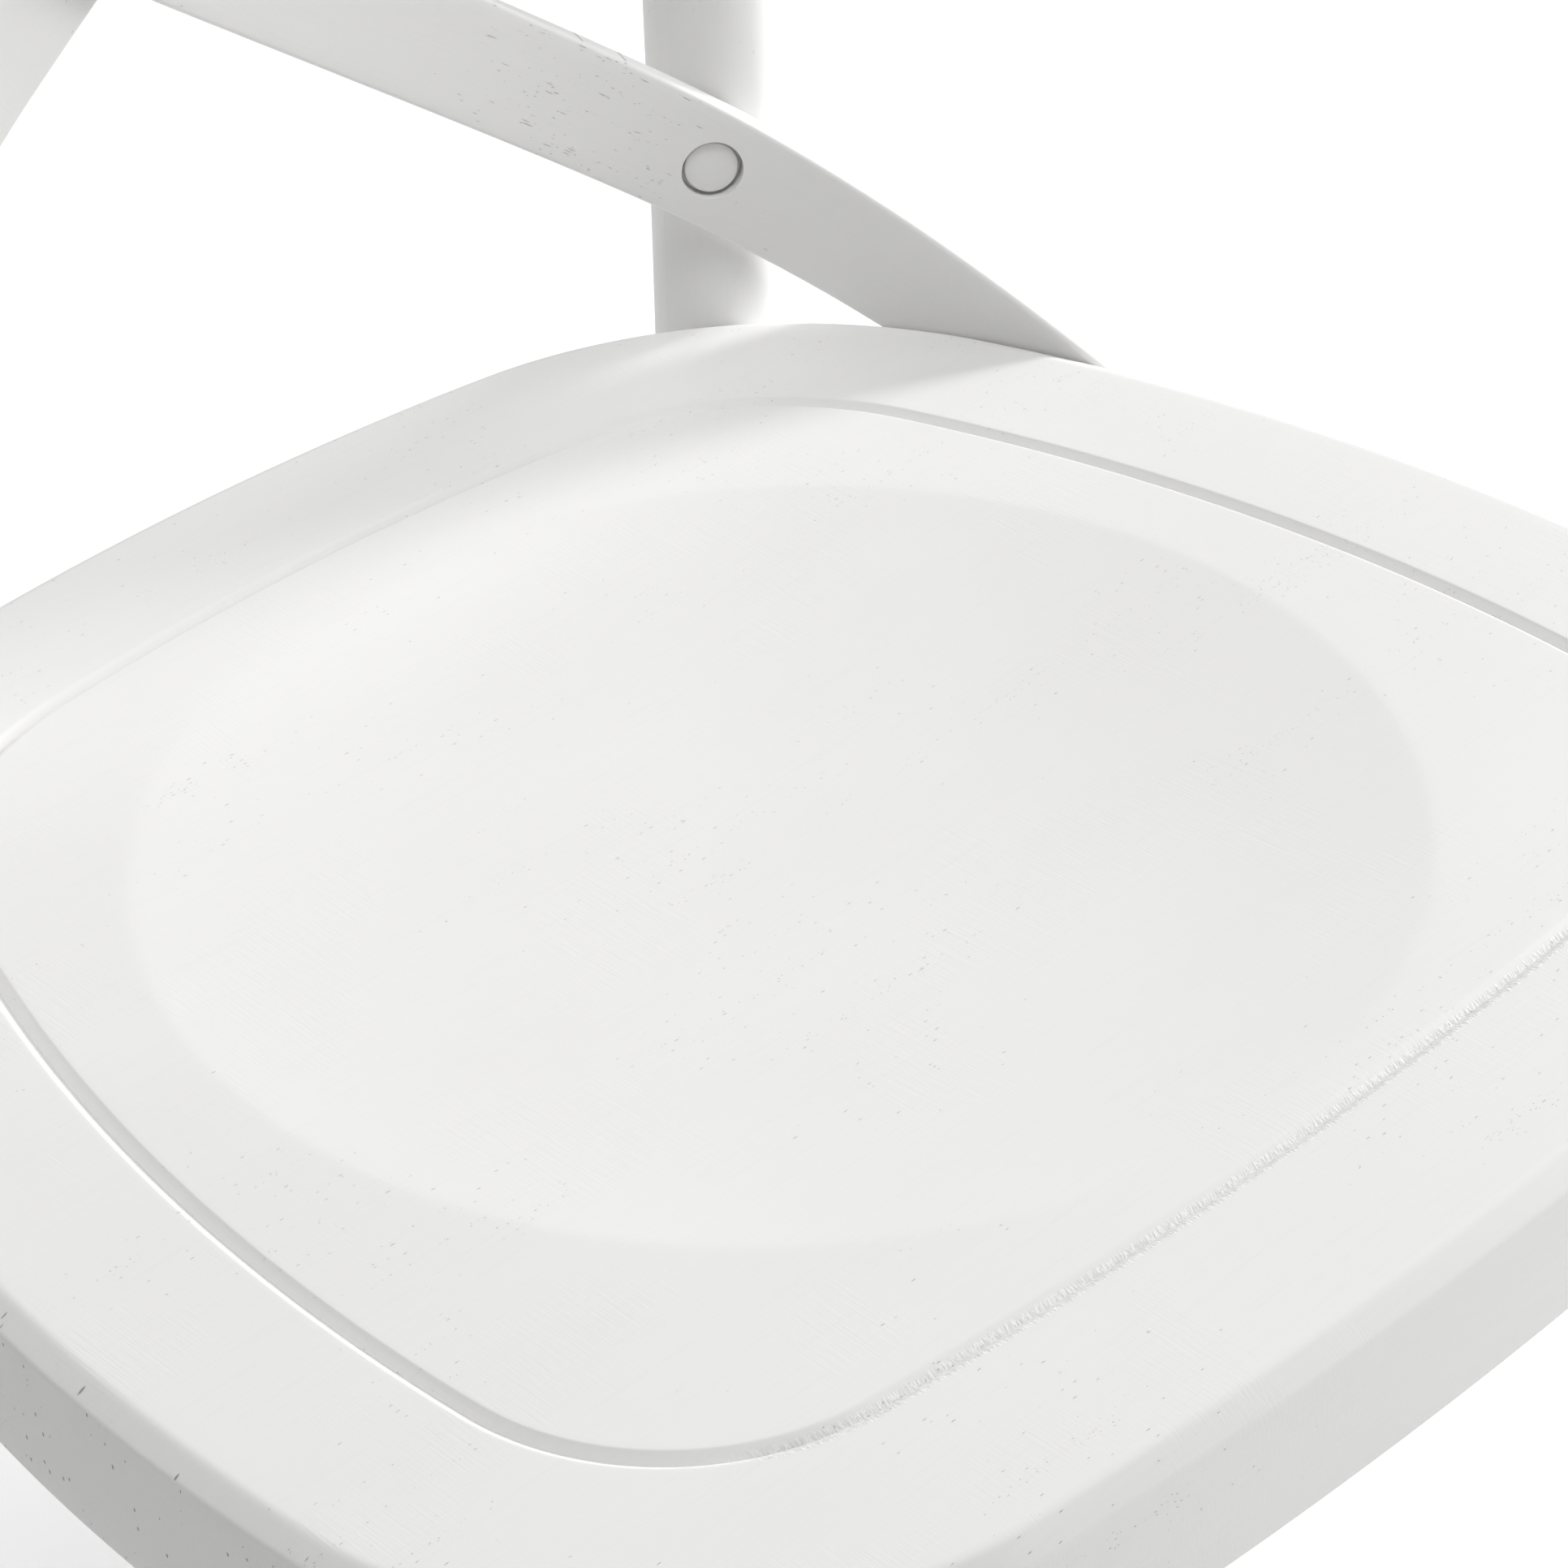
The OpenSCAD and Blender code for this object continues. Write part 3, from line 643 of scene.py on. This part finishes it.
def arches():
    """The four arches by frame node name."""
    flip = np.array([-1, 1, 1])
    front, rear = leg_axis(ARCH_Z), back_axis(ARCH_Z)
    side_a, side_b = leg_axis(SIDE_ARCH_Z), back_axis(SIDE_ARCH_Z)
    top = SEAT_UNDER - ARCH_T / 2 - 1.6
    side_crown = np.array([SIDE_CROWN_X, (side_a[1] + side_b[1]) / 2 + 4, top])
    front_crown = np.array([0, SHIFT_Y + FRONT_CROWN_Y, top])
    rear_crown = np.array([0, SHIFT_Y + REAR_CROWN_Y, top])
    r, q = leg_radius(ARCH_Z), rod_radius(ARCH_Z)
    return {
        "arch_front": Arch(front * flip, front, front_crown, r, FRONT_LEAN),
        "arch_rear": Arch(rear * flip, rear, rear_crown, q, REAR_LEAN),
        "arch_right": Arch(side_a, side_b, side_crown, SIDE_LEG_R, SIDE_LEAN),
        "arch_left": Arch(side_a * flip, side_b * flip, side_crown * flip, SIDE_LEG_R, SIDE_LEAN),
    }


def make_arch(node, arch, material):
    line = arch_line(arch.span, arch.rise, arch.lean)
    points, distance, across = [], [], []
    run = 0.0
    total = sum(np.linalg.norm(b - a) for a, b in zip(line, line[1:]))
    for i, p in enumerate(line):
        ahead, behind = line[min(i + 1, len(line) - 1)], line[max(i - 1, 0)]
        along = unit(ahead - behind)
        normal = np.array([along[1], -along[0]])
        run += np.linalg.norm(p - behind) if i else 0
        near_end = min(run, total - run)
        e = min(max(0.0, ARCH_END_R - near_end), 0.98 * ARCH_END_R)
        half_w = ARCH_W / 2 - ARCH_END_R + math.sqrt(ARCH_END_R**2 - e * e)
        for a, b in strap_section(half_w, ARCH_T / 2, 1.6):
            flat = p + normal * b
            points.append(arch.at(flat[0], flat[1], a))
            distance.append(run)
            across.append(a)
    count = len(points) // len(line)
    obj = piece(node.replace("arch", "brace"), points, ring_faces(len(line), count), material)
    outward(obj)
    store(obj, "along", distance)
    store(obj, "across", across)
    for at, out in arch.plug_seats():
        bore(obj, at - BRACE_BORE_BELOW * out, out)
    return place(obj, node)


def outward(obj):
    """Turns every face to the outside."""
    shape = bmesh.new()
    shape.from_mesh(obj.data)
    bmesh.ops.recalc_face_normals(shape, faces=shape.faces)
    shape.to_mesh(obj.data)
    shape.free()


# ---------- materials ----------
class Graph:
    """A short way to write a node material."""

    def __init__(self, name):
        self.material = bpy.data.materials.new(name)
        self.material.use_nodes = True
        self.tree = self.material.node_tree
        self.shader = self.tree.nodes["Principled BSDF"]

    def node(self, kind, **settings):
        made = self.tree.nodes.new(kind)
        for key, value in settings.items():
            setattr(made, key, value)
        return made

    def feed(self, made, values):
        for key, value in values.items():
            if hasattr(value, "links"):
                self.tree.links.new(value, made.inputs[key])
            else:
                made.inputs[key].default_value = value
        return made

    def math(self, operation, a, b=0.0, c=0.0, clamp=False):
        made = self.node("ShaderNodeMath", operation=operation, use_clamp=clamp)
        return self.feed(made, {0: a, 1: b, 2: c}).outputs[0]

    def ramp(self, value, low, high, out_low=0.0, out_high=1.0):
        made = self.node("ShaderNodeMapRange", interpolation_type="SMOOTHSTEP")
        return self.feed(made, {0: value, 1: low, 2: high, 3: out_low, 4: out_high}).outputs[0]

    def stretch(self, vector, scale, shift=(0, 0, 0)):
        made = self.node("ShaderNodeMapping")
        return self.feed(made, {"Vector": vector, "Scale": scale, "Location": shift}).outputs[0]

    def noise(self, vector, scale, detail=2.0, rough=0.5, distortion=0.0):
        made = self.node("ShaderNodeTexNoise")
        values = {"Vector": vector, "Scale": scale, "Detail": detail, "Roughness": rough}
        return self.feed(made, values | {"Distortion": distortion}).outputs["Fac"]

    def voronoi(self, vector, scale):
        made = self.node("ShaderNodeTexVoronoi")
        self.feed(made, {"Vector": vector, "Scale": scale})
        return made.outputs["Distance"], made.outputs["Color"]

    def mix(self, factor, a, b):
        made = self.node("ShaderNodeMix", data_type="RGBA")
        self.feed(made, {"Factor": factor, 6: a, 7: b})
        return made.outputs[2]

    def attribute(self, name):
        return self.node("ShaderNodeAttribute", attribute_name=name).outputs["Fac"]

    def bump(self, height, strength, distance, normal=None):
        made = self.node("ShaderNodeBump")
        self.feed(made, {"Height": height, "Strength": strength, "Distance": distance})
        if normal is not None:
            self.tree.links.new(normal, made.inputs["Normal"])
        return made.outputs[0]


def solid_grain(g):
    """Coordinates in millimetres of a board whose grain runs along X."""
    return g.stretch(g.node("ShaderNodeTexCoord").outputs["Object"], (1000, 1000, 1000))


def strip_grain(g):
    """Coordinates in millimetres along and across a bent or turned piece."""
    made = g.node("ShaderNodeCombineXYZ")
    return g.feed(made, {0: g.attribute("along"), 1: g.attribute("across")}).outputs[0]


def dashes(g, space, scale, share, long_r):
    """A mask of short marks, one in some of the cells of a stretched grid."""
    distance, colour = g.voronoi(g.stretch(space, scale), 1.0)
    pick = g.feed(g.node("ShaderNodeSeparateColor"), {0: colour})
    size = g.math("MULTIPLY_ADD", pick.outputs[1], long_r, 0.07)
    shape = g.ramp(g.math("DIVIDE", distance, size), 0.5, 1.0, 1.0, 0.0)
    return g.math("MULTIPLY", g.math("LESS_THAN", pick.outputs[0], share), shape)


def pores(g, space, share, row_share):
    """Open pores: a few anywhere, many in the rows that the early wood makes."""
    rows = g.noise(g.stretch(space, (0.005, 0.17, 0.12)), 1.0, 3.0, 0.55, 0.4)
    row = g.ramp(rows, 0.57, 0.64)
    patches = g.noise(g.stretch(space, (0.015, 0.02, 0.02), (7, 3, 0)), 1.0, 2.0)
    patch = g.ramp(patches, 0.46, 0.64)
    scattered = dashes(g, space, (0.30, 1.9, 0.9), g.math("MULTIPLY", patch, share), 0.17)
    in_rows = g.math("MULTIPLY", g.math("MULTIPLY", row, patch), row_share)
    dotted = dashes(g, space, (0.62, 2.4, 1.1), in_rows, 0.20)
    return g.math("MAXIMUM", scattered, dotted)


def painted(name, space_of, share, row_share, extras=(), rough=0.5):
    """White paint over open-grained wood, with pores, fine grain lines and sanding marks; the pores are real
    open grain, and their dark colour is painted shade inside the holes.
    """
    g = Graph(name)
    space = space_of(g)
    pore = pores(g, space, share, row_share)
    fine = g.noise(g.stretch(space, (0.03, 1.3, 0.8)), 1.0, 4.0, 0.62)
    broad = g.noise(g.stretch(space, (0.006, 0.015, 0.012)), 1.0, 2.0)
    sand = g.noise(g.stretch(space, (1.9, 0.07, 0.3)), 1.0, 3.0, 0.6)
    sanded = g.ramp(g.noise(g.stretch(space, (0.02, 0.02, 0.02), (0, 9, 0)), 1.0, 2.0), 0.45, 0.62)
    # heights in millimetres: grain, sanding, pores
    height = g.math("MULTIPLY", fine, 0.024)
    height = g.math("ADD", height, g.math("MULTIPLY", g.math("MULTIPLY", sand, sanded), 0.05))
    height = g.math("SUBTRACT", height, g.math("MULTIPLY", pore, 0.07))
    base = g.mix(g.ramp(broad, 0.3, 0.7), PAINT, PAINT_SHADE)
    base = g.mix(g.ramp(fine, 0.45, 0.8, 0.0, 0.08), base, PAINT_GREY)
    # the pores are darkened here: painted shade inside the open pores
    base = g.mix(g.math("MULTIPLY", pore, 0.62), base, RECESS_SHADE)
    for extra in extras:
        base, height = extra(g, space, base, height)
    shine = g.math("MULTIPLY_ADD", fine, 0.14, rough - 0.07)
    normal = g.bump(height, 1.0, 0.001)
    g.feed(g.shader, {"Base Color": base, "Roughness": shine, "Normal": normal, "Specular IOR Level": 0.35})
    return g.material


PAINT = (0.862, 0.860, 0.854, 1)
PAINT_SHADE = (0.848, 0.845, 0.836, 1)
PAINT_GREY = (0.66, 0.65, 0.63, 1)
# near-white, a painted highlight on the raised torn fibres
FIBRE_HIGHLIGHT = (0.96, 0.96, 0.955, 1)
# dark grey, painted shade inside the open pores and tears
RECESS_SHADE = (0.26, 0.25, 0.24, 1)


def torn_groove(g, space, base, height):
    """Rough fibres where the cutter ran along the grain, in the groove's front run; the raised fibres are
    painted lighter as a painted highlight, and small tears are painted dark as painted shade.
    """
    outside = g.attribute("outside")
    inside = g.math("MULTIPLY", g.ramp(outside, -1.6, -0.4), g.ramp(outside, 2.4, 3.6, 1.0, 0.0))
    run = g.ramp(g.attribute("facing_front"), 0.80, 0.93)
    where = g.math("MULTIPLY", inside, run)
    fibres = g.noise(g.stretch(space, (1.4, 0.38, 0.38)), 1.0, 4.0, 0.7)
    height = g.math("MULTIPLY_ADD", where, g.math("MULTIPLY_ADD", fibres, 0.85, -0.43), height)
    highlit_fibres = g.math("MULTIPLY", where, g.ramp(fibres, 0.48, 0.55))
    # the raised fibres are painted brighter: a painted highlight
    base = g.mix(highlit_fibres, base, FIBRE_HIGHLIGHT)
    # dark flecks among the torn fibres: painted shade in the small tears
    tear_shade = dashes(g, space, (1.0, 0.6, 0.7), 0.35, 0.22)
    return g.mix(g.math("MULTIPLY", g.math("MULTIPLY", where, tear_shade), 0.6), base, RECESS_SHADE), height


def end_grain(g, space, base, height):
    """Open pores in upright rows on the seat's sides, where the grain ends; their dark colour is painted
    shade inside the holes.
    """
    edge = g.ramp(g.attribute("outside"), GROOVE_INSET - EDGE_RUN, GROOVE_INSET - EDGE_RUN + 2)
    aside = g.ramp(g.math("ABSOLUTE", g.attribute("facing_front")), 0.80, 0.60)
    rows = g.noise(g.stretch(space, (0.01, 0.22, 0.015)), 1.0, 2.0, 0.5, 0.3)
    share = g.math("MULTIPLY", g.math("MULTIPLY", edge, aside), g.ramp(rows, 0.48, 0.60, 0.03, 0.75))
    marks = dashes(g, space, (0.04, 0.55, 0.30), share, 0.16)
    height = g.math("MULTIPLY_ADD", marks, -0.25, height)
    # the end-grain pores are darkened: painted shade inside the holes
    return g.mix(g.math("MULTIPLY", marks, 0.8), base, RECESS_SHADE), height


def strap_patch(g, space, base, height):
    """A patch of close open pores just above the post, on the straps; their dark colour is painted shade
    inside the holes.
    """
    along = g.attribute("along")
    where = g.math("MULTIPLY", g.ramp(along, -78, -50), g.ramp(along, -8, -20))
    clouds = g.noise(g.stretch(space, (0.05, 0.09, 0.1)), 1.0, 2.0)
    share = g.math("MULTIPLY", where, g.ramp(clouds, 0.34, 0.56))
    rows = g.ramp(g.noise(g.stretch(space, (0.012, 0.5, 0.1)), 1.0, 2.0), 0.42, 0.58, 0.25, 1.0)
    share = g.math("MULTIPLY", share, rows)
    marks = g.math("MAXIMUM", dashes(g, space, (0.16, 1.4, 1.0), share, 0.22),
                   dashes(g, space, (0.45, 1.8, 1.0), share, 0.22))
    height = g.math("MULTIPLY_ADD", marks, -0.10, height)
    # the patch's pores are darkened: painted shade inside the holes
    return g.mix(g.math("MULTIPLY", marks, 0.5), base, RECESS_SHADE), height


def seat_paint():
    return painted("seat_paint", solid_grain, 0.16, 0.95, (torn_groove, end_grain))


def strap_paint():
    return painted("strap_paint", strip_grain, 0.05, 0.35, (strap_patch,))


def rod_paint():
    return painted("rod_paint", strip_grain, 0.03, 0.25)


def plug_paint():
    return painted("plug_paint", solid_grain, 0.05, 0.1)


def steel():
    g = Graph("screw_steel")
    space = solid_grain(g)
    marks = g.noise(space, 0.8, 3.0)
    base = g.mix(marks, (0.55, 0.56, 0.58, 1), (0.68, 0.69, 0.70, 1))
    g.feed(g.shader, {"Base Color": base, "Metallic": 1.0, "Roughness": g.ramp(marks, 0.2, 0.8, 0.28, 0.5)})
    g.feed(g.shader, {"Normal": g.bump(marks, 0.2, 0.0001)})
    return g.material


def nylon():
    g = Graph("glide_nylon")
    space = solid_grain(g)
    marks = g.noise(space, 0.6, 4.0)
    base = g.mix(marks, (0.70, 0.69, 0.66, 1), (0.60, 0.59, 0.56, 1))
    g.feed(g.shader, {"Base Color": base, "Roughness": g.ramp(marks, 0.2, 0.8, 0.45, 0.65)})
    g.feed(g.shader, {"Normal": g.bump(marks, 0.3, 0.0001)})
    return g.material


# ---------- room ----------
def make_camera():
    a, e, roll = VIEW_AZIMUTH, VIEW_ELEVATION, VIEW_ROLL
    right = Vector((math.cos(a), math.sin(a), 0))
    back = Vector((math.sin(a) * math.cos(e), -math.cos(a) * math.cos(e), math.sin(e)))
    up = back.cross(right)
    turned = Matrix.Rotation(roll, 3, back) @ Matrix((right, up, back)).transposed()
    data = bpy.data.cameras.new("view")
    data.lens, data.sensor_width = VIEW_LENS, SENSOR
    data.clip_start, data.clip_end = 0.02, 50
    camera = bpy.data.objects.new("view", data)
    camera.matrix_world = Matrix.Translation(VIEW_PLACE) @ turned.to_4x4()
    bpy.context.scene.collection.objects.link(camera)
    bpy.context.scene.camera = camera


# the studio's soft lights: azimuth from +X towards +Y and elevation in degrees, width in
# metres, and power as a share of the key light's
KEY_WATTS = 54
STUDIO = (
    ("key", 0, 14, 0.5, 1.0),
    ("key_edge", 12, 22, 0.5, 0.35),
    ("side_fill", 330, 12, 1.3, 0.6),
    ("top_right", 300, 70, 1.3, 0.35),
    ("top_left", 240, 70, 1.3, 0.45),
    ("left_low", 240, 12, 1.3, 0.15),
    ("rear_low", 90, 12, 1.3, 0.2),
    ("rear_left", 120, 30, 1.3, 0.25),
    ("rear_right", 60, 30, 1.3, 0.15),
)
LIGHT_AWAY = 3.0


def make_light(name, azimuth, elevation, width, share):
    """A round soft light that shines on the seat from a direction."""
    data = bpy.data.lights.new(name, "AREA")
    data.shape, data.size, data.energy = "DISK", width, share * KEY_WATTS
    lamp = bpy.data.objects.new(name, data)
    a, e = math.radians(azimuth), math.radians(elevation)
    toward = Vector((math.cos(a) * math.cos(e), math.sin(a) * math.cos(e), math.sin(e)))
    lamp.location = Vector((0, 0, 0.46)) + toward * LIGHT_AWAY
    lamp.rotation_mode = "QUATERNION"
    lamp.rotation_quaternion = toward.to_track_quat("Z", "Y")
    bpy.context.scene.collection.objects.link(lamp)


def make_room():
    world = bpy.data.worlds.new("studio")
    world.use_nodes = True
    sky = world.node_tree.nodes["Background"]
    sky.inputs["Color"].default_value = (1, 1, 1, 1)
    sky.inputs["Strength"].default_value = 0.1
    bpy.context.scene.world = world
    bpy.context.scene.view_settings.view_transform = "Standard"
    g = Graph("floor_white")
    g.feed(g.shader, {"Base Color": (0.93, 0.93, 0.93, 1), "Roughness": 0.8})
    g.feed(g.shader, {"Emission Color": (1, 1, 1, 1), "Emission Strength": 0.06})
    mesh = bpy.data.meshes.new("floor")
    edge = 12.0
    corners = [(x * edge, y * edge, 0) for x, y in ((-1, -1), (1, -1), (1, 1), (-1, 1))]
    mesh.from_pydata(corners, [], [(0, 1, 2, 3)])
    mesh.materials.append(g.material)
    floor = bpy.data.objects.new("floor", mesh)
    bpy.context.scene.collection.objects.link(floor)
    for light in STUDIO:
        make_light(*light)


# ---------- the chair ----------
make_camera()
make_room()
SEAT_PAINT, STRAP_PAINT, ROD_PAINT, PLUG_PAINT = seat_paint(), strap_paint(), rod_paint(), plug_paint()
make_seat(SEAT_PAINT)
make_hoop(ROD_PAINT)
make_strap("strap_a", "cross_strap_front", False, STRAP_PAINT)
make_strap("strap_b", "cross_strap_rear", True, STRAP_PAINT)
make_leg("leg_left", "front_leg_left", -1, ROD_PAINT)
make_leg("leg_right", "front_leg_right", 1, ROD_PAINT)
make_plugs("post_plugs", "strap_post_plugs", both(strap_plug_seat(POST_SCREW, 1)), PLUG_PAINT)
make_plugs("top_plugs", "strap_top_plugs", both(strap_plug_seat(TOP_SCREW, 1)), PLUG_PAINT)
make_plugs("seat_end_plugs", "strap_seat_plugs", both(strap_plug_seat(SEAT_SCREW, -1)), PLUG_PAINT)
make_plugs("crossing_cap", "crossing_plug", [strap_plug_seat(strap_holes(False)[-1][0], 1)], PLUG_PAINT)
make_plugs("bolt_plugs", "seat_bolt_plugs", both(bolt_seat()), PLUG_PAINT)
brace_seats = []
for node, arch in arches().items():
    make_arch(node, arch, STRAP_PAINT)
    brace_seats += arch.plug_seats()
make_plugs("brace_plugs", "arch_leg_plugs", brace_seats, PLUG_PAINT)

STEEL, NYLON = steel(), nylon()
for name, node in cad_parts.items():
    if not node.hide_render:
        node.data.materials.clear()
        node.data.materials.append(NYLON if name == "foot_glides" else STEEL)
